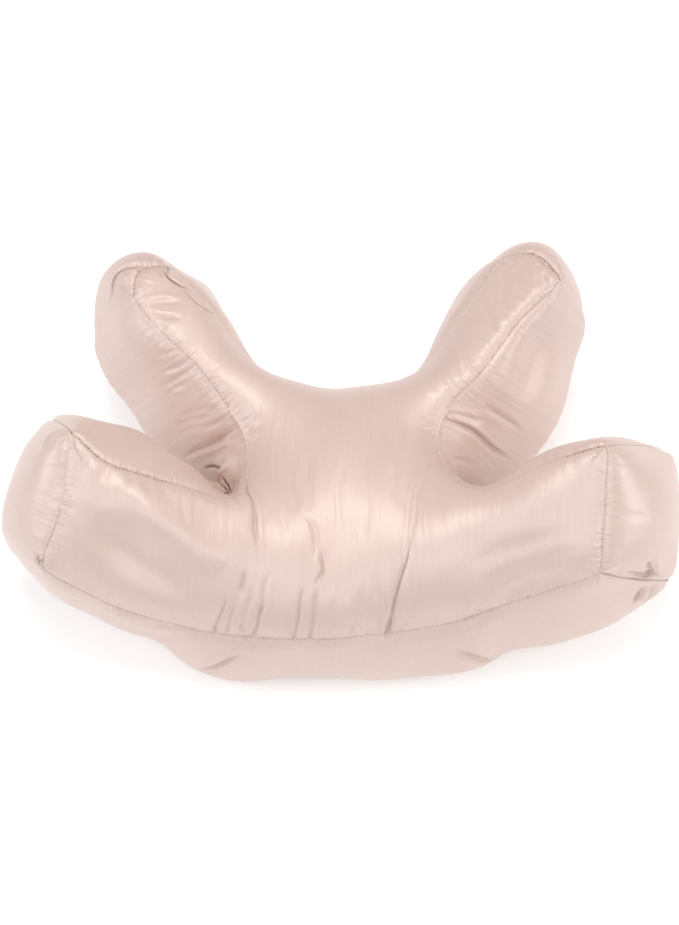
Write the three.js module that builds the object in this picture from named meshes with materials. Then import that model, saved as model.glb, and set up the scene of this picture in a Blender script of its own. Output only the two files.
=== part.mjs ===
// Stuffed satin pillow with a low seat, two thick front arms and two thinner rear arms.
// Millimetres, +X towards the right front arm, +Y towards the rear arms, +Z up from the surface it lies on.
// The skin is sewn from a top panel, a bottom panel, four side walls and four end caps.
import * as THREE from "three";

// Driving sizes
const MESH_STEP = 8.3;
const CROWN_GAIN = 0.138;
const CROWN_POWER = 0.7;
const CROWN_LIMIT = 9000;
const NOTCH_FULLNESS = 0.45;
const NOTCH_FULLNESS_POWER = 1.5;
const SEAM_DRAW = 2.0;
const CORNER_BOW = 11;
const CORNER_DRAW = 0.2;
const EDGE_CLEARANCE = 0.55;
const CORNER_REACH = 2;
const CORNER_PASSES = 2;
const RELAX_PASSES = 500;
const RELAX_GAIN = 1.7;
const NORMAL_PASSES = 40;
const NORMAL_BLEND = 0.7;
const CLOTH_COLOUR = 0xe3cbc0;

// Stations along the sewn outline, going round from the rear left arm.
// x y z: the top seam. dx dy dz: from there to the bottom seam under it.
const STATION = ["place", "x", "y", "z", "dx", "dy", "dz"];
const LEFT_SIDE = [
  ["rear left tip", -170, 138, 142, -42, 16, -60],
  ["rear left far", -147, 109, 136, -56, 20, -72],
  ["rear left mid", -115, 81, 124, -62, 11, -78],
  ["rear left near", -91, 52, 110, -56, 2, -84],
  ["rear left root", -78, 32, 100, -40, -6, -78],
  ["left notch", -74, 5, 94, -10, 2, -74],
  ["front left root", -83, -40, 112, -8, 38, -84],
  ["front left near", -116, -46, 134, -14, 68, -74],
  ["front left mid", -149, -45, 152, -20, 82, -64],
  ["front left far", -178, -43, 168, -26, 82, -64],
  ["front left tip", -203, -20, 182, -32, 62, -74],
];
const FRONT_SIDE = [
  ["front left tip", -230, -105, 110, -34, 60, -76],
  ["front left mid", -168, -126, 86, -20, 46, -68],
  ["front left near", -134, -131, 75, -10, 28, -60],
  ["front left root", -99, -136, 68, -6, 0, -60],
  ["front middle", -15, -141, 66, 0, 0, -58],
  ["front right root", 85, -129, 70, 20, -4, -61],
  ["front right near", 112, -124, 80, 26, 7, -67],
  ["front right mid", 145, -120, 96, 32, 8, -80],
  ["front right tip", 195, -119, 121, 72, 42, -74],
];
const RIGHT_SIDE = [
  ["front right tip", 202, -34, 180, 62, 48, -76],
  ["front right mid", 153, -37, 152, 25, 52, -80],
  ["front right root", 111, -36, 118, 4, 32, -86],
  ["right notch", 84, 1, 94, 8, 2, -74],
  ["rear right root", 78, 31, 98, 48, -6, -76],
  ["rear right near", 89, 54, 108, 70, -4, -80],
  ["rear right mid", 115, 78, 122, 70, 6, -76],
  ["rear right far", 146, 117, 136, 52, 16, -72],
  ["rear right tip", 184, 151, 146, 26, 14, -66],
];
const REAR_SIDE = [
  ["rear right tip", 132, 187, 132, -10, 36, -60],
  ["rear right far", 118, 164, 125, -12, 34, -64],
  ["rear right near", 95, 134, 110, -4, 25, -66],
  ["rear right root", 62, 102, 82, 4, 8, -62],
  ["rear middle", 5, 93, 70, 0, 5, -58],
  ["rear left root", -64, 102, 82, -4, 8, -62],
  ["rear left near", -104, 143, 112, 4, 25, -66],
  ["rear left far", -125, 164, 126, 12, 34, -64],
  ["rear left tip", -142, 177, 134, 10, 38, -60],
];

// End caps: the station half way round each arm end, and how full the cap is against a flat panel.
const REAR_LEFT_CAP = [["rear left end", -164, 163, 142, -18, 30, -60]];
const FRONT_LEFT_CAP = [["front left end", -207, -70, 150, -38, 62, -76]];
const FRONT_RIGHT_CAP = [["front right end", 197, -79, 150, 66, 46, -76]];
const REAR_RIGHT_CAP = [["rear right end", 159, 183, 142, 12, 26, -64]];
const CAP_FULLNESS = { rearLeft: 2.8, frontLeft: 2.1, frontRight: 1.7, rearRight: 1.8 };

// Main folds of the top panel, seen from above: start, end, half width and depth.
const TOP_FOLD = ["place", "x0", "y0", "x1", "y1", "halfWidth", "depth"];
const TOP_FOLDS = [
  ["left of centre, upper", -16, -66, -11, -106, 7, 4.0],
  ["left of centre, lower", -11, -106, -23, -136, 7, 4.5],
  ["right of centre, upper", 66, -40, 57, -94, 8, 4.5],
  ["right of centre, lower", 57, -94, 36, -134, 8, 5.0],
  ["from the left notch", -70, -18, -66, -62, 7, 5.0],
  ["down to the left gathers", -66, -62, -59, -116, 7, 4.0],
  ["left gather", -80, -116, -92, -133, 7, 3.5],
  ["inner left gather", -43, -98, -52, -136, 7, 3.0],
  ["middle gather", 8, -98, 4, -136, 7, 2.5],
  ["inner right gather", 28, -112, 17, -135, 7, 3.0],
  ["hollow of the front left arm", -168, -84, -108, -122, 20, 4.5],
  ["from the right notch", 88, -14, 96, -62, 9, 3.0],
  ["root of the rear left arm", -72, 44, -40, 84, 12, 3.0],
  ["root of the rear right arm", 72, 44, 42, 82, 12, 3.0],
];

// Main folds across the walls: place along the run at each end (0 start, 1 end),
// reach down the wall (0 top seam, 1 bottom seam), half width and depth.
const WALL_FOLD = ["run", "along0", "along1", "down0", "down1", "halfWidth", "depth"];
const WALL_FOLDS = [
  ["left", 0.16, 0.13, 0.0, 0.6, 7, 2.5],
  ["left", 0.22, 0.19, 0.0, 0.7, 7, 3.0],
  ["left", 0.28, 0.26, 0.0, 0.7, 7, 3.5],
  ["left", 0.34, 0.33, 0.0, 0.8, 7, 3.5],
  ["left", 0.48, 0.47, 0.0, 0.9, 8, 5.0],
  ["right", 0.54, 0.56, 0.0, 0.7, 8, 4.0],
  ["right", 0.62, 0.67, 0.0, 0.8, 8, 4.0],
  ["right", 0.69, 0.76, 0.1, 0.7, 7, 3.0],
  ["front", 0.30, 0.34, 0.95, 0.5, 7, 3.5],
  ["front", 0.66, 0.63, 0.95, 0.5, 8, 4.0],
];

function named(columns, row) {
  return Object.fromEntries(columns.map((column, i) => [column, row[i]]));
}

// One run of the outline: smooth top and bottom seams, cut into cells of one mesh step.
function seamRun(name, rows) {
  const stations = rows.map((row) => named(STATION, row));
  const tops = stations.map((s) => new THREE.Vector3(s.x, s.y, s.z));
  const lows = stations.map((s) => new THREE.Vector3(s.x + s.dx, s.y + s.dy, s.z + s.dz));
  const topCurve = new THREE.CatmullRomCurve3(tops, false, "centripetal");
  const lowCurve = new THREE.CatmullRomCurve3(lows, false, "centripetal");
  const dense = 60 * (rows.length - 1);
  const lengths = [0];
  let before = null;
  for (let i = 0; i <= dense; i += 1) {
    const middle = topCurve.getPoint(i / dense).add(lowCurve.getPoint(i / dense)).multiplyScalar(0.5);
    if (before) lengths.push(lengths[i - 1] + middle.distanceTo(before));
    before = middle;
  }
  const total = lengths[dense];
  const cells = Math.max(4, Math.round(total / MESH_STEP));
  const columns = [];
  let at = 0;
  for (let c = 0; c < cells; c += 1) {
    const want = (total * c) / cells;
    while (lengths[at + 1] < want) at += 1;
    const share = (at + (want - lengths[at]) / (lengths[at + 1] - lengths[at])) / dense;
    columns.push({ run: name, along: c / cells, top: topCurve.getPoint(share), low: lowCurve.getPoint(share) });
  }
  columns[0].corner = true;
  columns.forEach((column) => { column.length = total; });
  return columns;
}

function lastRow(rows) {
  return rows[rows.length - 1];
}

// Stuffing draws the sharp ends of the seams in, so the columns next to each cap corner are evened out.
function softenCorners(columns) {
  const n = columns.length;
  const corners = columns.map((c, i) => (c.corner ? i : -1)).filter((i) => i >= 0);
  const close = columns.map((_, i) => corners.some((k) => {
    const apart = Math.abs(i - k);
    return Math.min(apart, n - apart) <= CORNER_REACH;
  }));
  for (let pass = 0; pass < CORNER_PASSES; pass += 1) {
    const before = columns.map((c) => ({ top: c.top.clone(), low: c.low.clone() }));
    columns.forEach((c, i) => {
      if (!close[i]) return;
      for (const level of ["top", "low"]) {
        const beside = before[(i + n - 1) % n][level].clone().add(before[(i + 1) % n][level]);
        c[level].multiplyScalar(0.5).addScaledVector(beside, 0.25);
      }
    });
  }
  return columns;
}

function outlineColumns() {
  return softenCorners([
    ...seamRun("rearLeft", [lastRow(REAR_SIDE), ...REAR_LEFT_CAP, LEFT_SIDE[0]]),
    ...seamRun("left", LEFT_SIDE),
    ...seamRun("frontLeft", [lastRow(LEFT_SIDE), ...FRONT_LEFT_CAP, FRONT_SIDE[0]]),
    ...seamRun("front", FRONT_SIDE),
    ...seamRun("frontRight", [lastRow(FRONT_SIDE), ...FRONT_RIGHT_CAP, RIGHT_SIDE[0]]),
    ...seamRun("right", RIGHT_SIDE),
    ...seamRun("rearRight", [lastRow(RIGHT_SIDE), ...REAR_RIGHT_CAP, REAR_SIDE[0]]),
    ...seamRun("rear", REAR_SIDE),
  ]);
}

function isInside(loop, x, y) {
  let inside = false;
  for (let i = 0, j = loop.length - 1; i < loop.length; j = i, i += 1) {
    const a = loop[i];
    const b = loop[j];
    const crosses = (a.y > y) !== (b.y > y);
    if (crosses && x < ((b.x - a.x) * (y - a.y)) / (b.y - a.y) + a.x) inside = !inside;
  }
  return inside;
}

// Height carried smoothly from the seam loop to a point inside it (mean value weights).
function heightInside(loop, x, y) {
  const n = loop.length;
  const half = [];
  const far = [];
  for (let i = 0; i < n; i += 1) {
    const a = loop[i];
    const b = loop[(i + 1) % n];
    const ra = Math.hypot(a.x - x, a.y - y);
    const rb = Math.hypot(b.x - x, b.y - y);
    const cross = (a.x - x) * (b.y - y) - (a.y - y) * (b.x - x);
    const dot = (a.x - x) * (b.x - x) + (a.y - y) * (b.y - y);
    half.push(cross / (ra * rb + dot + 1e-9));
    far.push(ra);
  }
  let sum = 0;
  let weightSum = 0;
  for (let i = 0; i < n; i += 1) {
    const weight = (half[(i + n - 1) % n] + half[i]) / far[i];
    sum += weight * loop[i].z;
    weightSum += weight;
  }
  return sum / weightSum;
}

function circle(points, a, b, c) {
  const [pa, pb, pc] = [points[a], points[b], points[c]];
  const d = 2 * (pa.x * (pb.y - pc.y) + pb.x * (pc.y - pa.y) + pc.x * (pa.y - pb.y));
  const sa = pa.x * pa.x + pa.y * pa.y;
  const sb = pb.x * pb.x + pb.y * pb.y;
  const sc = pc.x * pc.x + pc.y * pc.y;
  const x = (sa * (pb.y - pc.y) + sb * (pc.y - pa.y) + sc * (pa.y - pb.y)) / d;
  const y = (sa * (pc.x - pb.x) + sb * (pa.x - pc.x) + sc * (pb.x - pa.x)) / d;
  return { corners: [a, b, c], x, y, r2: (pa.x - x) ** 2 + (pa.y - y) ** 2 };
}

// Triangles over scattered plan points, each with an empty circle round it.
function triangulate(points) {
  const n = points.length;
  const all = [...points, { x: -4000, y: -3000 }, { x: 4000, y: -3000 }, { x: 0, y: 5000 }];
  let triangles = [circle(all, n, n + 1, n + 2)];
  for (let i = 0; i < n; i += 1) {
    const p = all[i];
    const kept = [];
    const rim = new Map();
    for (const t of triangles) {
      if ((p.x - t.x) ** 2 + (p.y - t.y) ** 2 > t.r2) {
        kept.push(t);
        continue;
      }
      for (let k = 0; k < 3; k += 1) {
        const a = t.corners[k];
        const b = t.corners[(k + 1) % 3];
        if (!rim.delete(`${b},${a}`)) rim.set(`${a},${b}`, [a, b]);
      }
    }
    for (const [a, b] of rim.values()) kept.push(circle(all, a, b, i));
    triangles = kept;
  }
  return triangles.map((t) => t.corners).filter((corners) => corners.every((c) => c < n));
}

// A panel inside a seam loop: the loop points, then a staggered lattice, and its triangles facing up.
function panel(loop) {
  const xs = loop.map((p) => p.x);
  const ys = loop.map((p) => p.y);
  const inner = [];
  let row = 0;
  for (let y = Math.min(...ys); y < Math.max(...ys); y += MESH_STEP * 0.866) {
    const shift = row % 2 === 0 ? 0 : MESH_STEP / 2;
    for (let x = Math.min(...xs) + shift; x < Math.max(...xs); x += MESH_STEP) {
      const wobble = 0.01 * Math.sin(12.9 * x + 7.7 * y);
      const clear = loop.every((a, i) => {
        const b = loop[(i + 1) % loop.length];
        const toCorner = Math.hypot(a.x - x, a.y - y);
        const toMiddle = Math.hypot((a.x + b.x) / 2 - x, (a.y + b.y) / 2 - y);
        return Math.min(toCorner, toMiddle) > EDGE_CLEARANCE * MESH_STEP;
      });
      if (clear && isInside(loop, x, y)) inner.push(new THREE.Vector3(x + wobble, y, 0));
    }
    row += 1;
  }
  inner.forEach((p) => { p.z = heightInside(loop, p.x, p.y); });
  const points = [...loop.map((p) => p.clone()), ...inner];
  const triangles = triangulate(points).filter(([a, b, c]) => {
    const x = (points[a].x + points[b].x + points[c].x) / 3;
    const y = (points[a].y + points[b].y + points[c].y) / 3;
    return isInside(loop, x, y);
  });
  const facingUp = triangles.map(([a, b, c]) => {
    const turn = (points[b].x - points[a].x) * (points[c].y - points[a].y)
      - (points[b].y - points[a].y) * (points[c].x - points[a].x);
    return turn > 0 ? [a, b, c] : [a, c, b];
  });
  return { points, triangles: facingUp };
}

// The sewn shell before stuffing: top panel, wall rows, bottom panel.
function sewnShell() {
  const columns = outlineColumns();
  const n = columns.length;
  const top = panel(columns.map((c) => c.top));
  const low = panel(columns.map((c) => c.low));
  const tall = columns.reduce((sum, c) => sum + c.top.distanceTo(c.low), 0) / n;
  const rows = Math.round(tall / MESH_STEP);
  const points = [...top.points];
  const seam = points.map((_, i) => i < n);
  const corner = points.map((_, i) => i < n && columns[i].corner === true);
  const wall = points.map(() => null);
  for (let r = 1; r < rows; r += 1) {
    columns.forEach((c) => {
      points.push(c.top.clone().lerp(c.low, r / rows));
      seam.push(c.corner === true);
      corner.push(false);
      wall.push({ column: c, down: r / rows });
    });
  }
  const lowStart = points.length;
  low.points.forEach((p, i) => {
    points.push(p);
    seam.push(i < n);
    corner.push(i < n && columns[i].corner === true);
    wall.push(null);
  });
  const ring = (r) => (r === 0 ? 0 : r === rows ? lowStart : top.points.length + (r - 1) * n);
  const triangles = [...top.triangles];
  for (let r = 0; r < rows; r += 1) {
    for (let i = 0; i < n; i += 1) {
      const next = (i + 1) % n;
      triangles.push([ring(r) + i, ring(r + 1) + i, ring(r + 1) + next]);
      triangles.push([ring(r) + i, ring(r + 1) + next, ring(r) + next]);
    }
  }
  low.triangles.forEach(([a, b, c]) => triangles.push([a + lowStart, c + lowStart, b + lowStart]));
  return { points, seam, corner, wall, triangles, topCount: top.points.length };
}

function neighbours(shell) {
  const near = shell.points.map(() => new Map());
  for (const [a, b, c] of shell.triangles) {
    for (const [i, j] of [[a, b], [b, c], [c, a]]) {
      const weight = 1 / (1.5 * shell.points[i].distanceToSquared(shell.points[j]));
      near[i].set(j, weight);
      near[j].set(i, weight);
    }
  }
  return near.map((map) => [...map.entries()]);
}

// How far each point lies from the seams round its panel, as a relaxed dome over the panel.
function domes(shell, near) {
  const dome = new Float64Array(shell.points.length);
  for (let pass = 0; pass < RELAX_PASSES; pass += 1) {
    for (let i = 0; i < dome.length; i += 1) {
      if (shell.seam[i]) continue;
      let sum = 1;
      let weightSum = 0;
      for (const [j, weight] of near[i]) {
        sum += weight * dome[j];
        weightSum += weight;
      }
      dome[i] += RELAX_GAIN * (sum / weightSum - dome[i]);
    }
  }
  return dome;
}

// Outward directions, smoothed inside each panel and left out at the seams.
function outward(shell, near) {
  let normals = shell.points.map(() => new THREE.Vector3());
  for (const [a, b, c] of shell.triangles) {
    const ab = shell.points[b].clone().sub(shell.points[a]);
    const ac = shell.points[c].clone().sub(shell.points[a]);
    const face = ab.cross(ac);
    for (const i of [a, b, c]) if (!shell.seam[i]) normals[i].add(face);
  }
  for (let pass = 0; pass < NORMAL_PASSES; pass += 1) {
    normals = normals.map((own, i) => {
      if (shell.seam[i]) return own;
      const around = new THREE.Vector3();
      for (const [j, weight] of near[i]) around.addScaledVector(normals[j], weight);
      around.normalize().multiplyScalar(NORMAL_BLEND);
      return own.clone().normalize().multiplyScalar(1 - NORMAL_BLEND).add(around);
    });
  }
  return normals.map((own) => own.normalize());
}

function fullness(wall) {
  if (!wall) return 1;
  const { run, along } = wall.column;
  if (run in CAP_FULLNESS) return CAP_FULLNESS[run];
  if (run !== "left" && run !== "right") return 1;
  const fromNotch = Math.abs(2 * along - 1) ** NOTCH_FULLNESS_POWER;
  return NOTCH_FULLNESS + (1 - NOTCH_FULLNESS) * fromNotch;
}

function trough(distance, halfWidth, share) {
  const taper = Math.sin(Math.PI * Math.min(1, Math.max(0, 0.15 + 0.7 * share)));
  return Math.exp(-((distance / halfWidth) ** 2)) * taper;
}

// Depth of the top panel's folds at a plan position.
function topFoldDepth(x, y) {
  return TOP_FOLDS.map((row) => named(TOP_FOLD, row)).reduce((deepest, fold) => {
    const [ax, ay] = [fold.x1 - fold.x0, fold.y1 - fold.y0];
    const share = ((x - fold.x0) * ax + (y - fold.y0) * ay) / (ax * ax + ay * ay);
    const held = Math.min(1, Math.max(0, share));
    const distance = Math.hypot(x - fold.x0 - held * ax, y - fold.y0 - held * ay);
    return Math.max(deepest, fold.depth * trough(distance, fold.halfWidth, held));
  }, 0);
}

// Depth of the wall folds at a place on a wall.
function wallFoldDepth(wall) {
  return WALL_FOLDS.map((row) => named(WALL_FOLD, row)).reduce((deepest, fold) => {
    if (fold.run !== wall.column.run) return deepest;
    const share = (wall.down - fold.down0) / (fold.down1 - fold.down0);
    if (share < -0.1 || share > 1.1) return deepest;
    const held = Math.min(1, Math.max(0, share));
    const along = fold.along0 + held * (fold.along1 - fold.along0);
    const distance = Math.abs(wall.column.along - along) * wall.column.length;
    return Math.max(deepest, fold.depth * trough(distance, fold.halfWidth, held));
  }, 0);
}

// Stuffing fills every panel outward between its seams, which the thread draws in; the base rests flat.
function stuffed(shell) {
  const near = neighbours(shell);
  const dome = domes(shell, near);
  const normals = outward(shell, near);
  const filled = shell.points.map((p, i) => {
    if (shell.seam[i]) {
      const beside = new THREE.Vector3();
      near[i].forEach(([j]) => beside.add(normals[j]));
      const bow = shell.wall[i] ? CORNER_BOW * Math.sin(Math.PI * shell.wall[i].down) : 0;
      const draw = shell.corner[i] ? CORNER_DRAW : SEAM_DRAW;
      return p.clone().addScaledVector(beside.normalize(), bow - draw);
    }
    const held = dome[i] / (1 + dome[i] / CROWN_LIMIT);
    const crown = CROWN_GAIN * held ** CROWN_POWER * fullness(shell.wall[i]);
    const seamFade = Math.min(1, dome[i] / 150);
    let fold = 0;
    if (i < shell.topCount) fold = topFoldDepth(p.x, p.y) * seamFade;
    if (shell.wall[i]) fold = wallFoldDepth(shell.wall[i]) * seamFade;
    return p.clone().addScaledVector(normals[i], crown - fold);
  });
  filled.forEach((p) => { p.z = Math.max(0, p.z); });
  return filled;
}

function pillowMesh() {
  const shell = sewnShell();
  const filled = stuffed(shell);
  const box = new THREE.Box3().setFromPoints(filled);
  const centre = box.getCenter(new THREE.Vector3());
  const geometry = new THREE.BufferGeometry();
  const places = filled.flatMap((p) => [p.x - centre.x, p.y - centre.y, p.z - box.min.z]);
  geometry.setAttribute("position", new THREE.Float32BufferAttribute(places, 3));
  geometry.setIndex(shell.triangles.flat());
  geometry.computeVertexNormals();
  const cloth = new THREE.MeshStandardMaterial({ color: CLOTH_COLOUR, roughness: 0.42, metalness: 0 });
  cloth.name = "satin";
  const mesh = new THREE.Mesh(geometry, cloth);
  mesh.name = "pillow";
  return mesh;
}

const part = new THREE.Group();
part.name = "anti_wrinkle_pillow";
part.add(pillowMesh());

export default part;
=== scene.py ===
"""Looks of the stuffed satin pillow: its sewn skin, its stitches, the floor, the light and the camera."""
import math

import bmesh
import bpy
import numpy as np
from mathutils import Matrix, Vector
from mathutils.geometry import delaunay_2d_cdt


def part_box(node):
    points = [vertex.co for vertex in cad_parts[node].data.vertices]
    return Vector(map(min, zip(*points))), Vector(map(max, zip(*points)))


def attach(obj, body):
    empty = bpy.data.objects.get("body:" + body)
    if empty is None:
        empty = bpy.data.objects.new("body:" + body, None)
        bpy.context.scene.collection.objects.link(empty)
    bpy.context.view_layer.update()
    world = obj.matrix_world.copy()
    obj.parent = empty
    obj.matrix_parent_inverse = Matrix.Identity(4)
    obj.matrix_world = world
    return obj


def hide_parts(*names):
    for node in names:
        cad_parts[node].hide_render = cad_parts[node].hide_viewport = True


# Lengths in the tables are millimetres, and MM turns them to metres.
MM = 0.001
# Added where a division could be by zero
SMALL = 1e-9
TINY = 1e-12

# Lattices of the sewn skin, and how the outline is evened round the cap corners
SKIN_STEP = 3.4
BELLY_STEP = 9.0
EDGE_CLEARANCE = 0.62
MERGE_GAP = 1e-5
SPAN_STEPS = 60
LEAST_CELLS = 4
LEAST_ROWS = 3
CORNER_REACH = 4
CORNER_PASSES = 7

# How the panels swell, and how the seams are drawn in
EDGE_SHARE = 1.5
DOME_STEPS = 900
DOME_LEFT = 1e-12
CROWN_GAIN = 0.138
CROWN_POWER = 0.7
CROWN_LIMIT = 9000.0
NOTCH_FULLNESS = 0.45
NOTCH_FULLNESS_POWER = 1.5
SEAM_DRAW = 2.0
CORNER_DRAW = 0.2
CORNER_BOW = 11.0
NORMAL_PASSES = 140
NORMAL_BLEND = 0.7

# Stations along the sewn outline, going round from the rear left arm.
# x y z: the top seam. dx dy dz: from there to the bottom seam under it.
LEFT_SIDE = [
    ("rear tip", -170, 138, 142, -42, 16, -60),
    ("rear far", -147, 109, 136, -56, 20, -72),
    ("rear mid", -115, 81, 124, -62, 11, -78),
    ("rear near", -91, 52, 110, -56, 2, -84),
    ("rear root", -78, 32, 100, -40, -6, -78),
    ("notch", -74, 5, 94, -10, 2, -74),
    ("front root", -83, -40, 112, -8, 38, -84),
    ("front near", -116, -46, 134, -14, 68, -74),
    ("front mid", -149, -45, 152, -20, 82, -64),
    ("front far", -178, -43, 168, -26, 82, -64),
    ("front tip", -203, -20, 182, -32, 62, -74),
]
FRONT_SIDE = [
    ("left tip", -230, -105, 110, -34, 60, -76),
    ("left mid", -168, -126, 86, -20, 46, -68),
    ("left near", -134, -131, 75, -10, 28, -60),
    ("left root", -99, -136, 68, -6, 0, -60),
    ("middle", -15, -141, 66, 0, 0, -58),
    ("right root", 85, -129, 70, 20, -4, -61),
    ("right near", 112, -124, 80, 26, 7, -67),
    ("right mid", 145, -120, 96, 32, 8, -80),
    ("right tip", 195, -119, 121, 72, 42, -74),
]
RIGHT_SIDE = [
    ("front tip", 202, -34, 180, 62, 48, -76),
    ("front mid", 153, -37, 152, 25, 52, -80),
    ("front root", 111, -36, 118, 4, 32, -86),
    ("notch", 84, 1, 94, 8, 2, -74),
    ("rear root", 78, 31, 98, 48, -6, -76),
    ("rear near", 89, 54, 108, 70, -4, -80),
    ("rear mid", 115, 78, 122, 70, 6, -76),
    ("rear far", 146, 117, 136, 52, 16, -72),
    ("rear tip", 184, 151, 146, 26, 14, -66),
]
REAR_SIDE = [
    ("right tip", 132, 187, 132, -10, 36, -60),
    ("right far", 118, 164, 125, -12, 34, -64),
    ("right near", 95, 134, 110, -4, 25, -66),
    ("right root", 62, 102, 82, 4, 8, -62),
    ("middle", 5, 93, 70, 0, 5, -58),
    ("left root", -64, 102, 82, -4, 8, -62),
    ("left near", -104, 143, 112, 4, 25, -66),
    ("left far", -125, 164, 126, 12, 34, -64),
    ("left tip", -142, 177, 134, 10, 38, -60),
]

# The runs in order round the outline. A cap has a station of its own half way round the arm's end.
RUNS = {
    "rear_left": [REAR_SIDE[-1], ("end", -164, 163, 142, -18, 30, -60), LEFT_SIDE[0]],
    "left": LEFT_SIDE,
    "front_left": [LEFT_SIDE[-1], ("end", -207, -70, 150, -38, 62, -76), FRONT_SIDE[0]],
    "front": FRONT_SIDE,
    "front_right": [FRONT_SIDE[-1], ("end", 197, -79, 150, 66, 46, -76), RIGHT_SIDE[0]],
    "right": RIGHT_SIDE,
    "rear_right": [RIGHT_SIDE[-1], ("end", 159, 183, 142, 12, 26, -64), REAR_SIDE[0]],
    "rear": REAR_SIDE,
}

# How full each cap is against a flat panel
CAP_FULLNESS = {"rear_left": 2.8, "front_left": 2.1, "front_right": 1.7, "rear_right": 1.8}

# Seams: how far the cloth is eased up to them, and the groove that the thread pulls.
EASE_PASSES = 3
EASE_SEAM = 0.8
EASE_BESIDE = 0.4
EVEN_PASSES = 12
PLAIN_CORNER_REACH = 5
PLAIN_CORNER_PASSES = 14
PLAIN_CORNER_SHARE = 0.6
SEAM_EDGE_CREASE = 0.8
GROOVE_DEPTH = 1.3
GROOVE_HALF_WIDTH = 1.7

# Points this near the surface lie on it, before the skin is refined and after.
ON_FLOOR = 0.5
ON_FLOOR_FINE = 1.0

# Cloth that settles over the stuffing: how much wider it was cut across the middle and longer along the
# rear arms, how firmly it is held, and how far it may move.
CUT_WIDER = 0.03
CUT_WIDER_REACH = 85.0
CUT_LONGER = 0.02
CUT_LONGER_FROM = 60.0
SETTLE_FRAMES = 22
SETTLE_HOLD = 0.3
SETTLE_LIMIT = 1.5
CLOTH_RULES = {
    "quality": 6,
    "mass": 0.15,
    "air_damping": 3.0,
    "tension_stiffness": 40.0,
    "compression_stiffness": 40.0,
    "shear_stiffness": 12.0,
    "bending_stiffness": 0.05,
    "use_pressure": True,
    "uniform_pressure_force": 1.5,
    "vertex_group_mass": "hold",
    "pin_stiffness": 1.0,
}

# Folds: how far the middle of one wanders from side to side, at most as a share of its half width, and the
# length over which it does so.
WANDER = 1.1
WANDER_LIMIT = 0.45
WANDER_LENGTH = 9.0
# The share of a fold's length over which it rises and fades, how far it runs on, and its width at an end.
FOLD_FADE = 0.4
FOLD_RUN_ON = 0.03
FOLD_END_WIDTH = 0.65
# Where the ridge lies beside a fold, and how far off a fold is lost, both in half widths.
RIDGE_PLACE = 1.6
FOLD_LOST = 9.0
# How far past its ends a fold is looked for, and how far off the skin the points of a fold and of a sharp
# crease may lie.
FOLD_MARGIN = 30.0
FOLD_SKIN_GAP = 22.0
CREASE_SKIN_GAP = 8.0
# How far from a sharp crease its line fades out, the share of a fold that is left at a seam, and the way
# from there to the whole.
CREASE_REACH = 6.0
SEAM_FOLD_SHARE = 0.3
SEAM_FOLD_WAY = 4.0
# Steps of the curve in each span between two points of a fold
FOLD_SPAN_STEPS = 3

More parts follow.
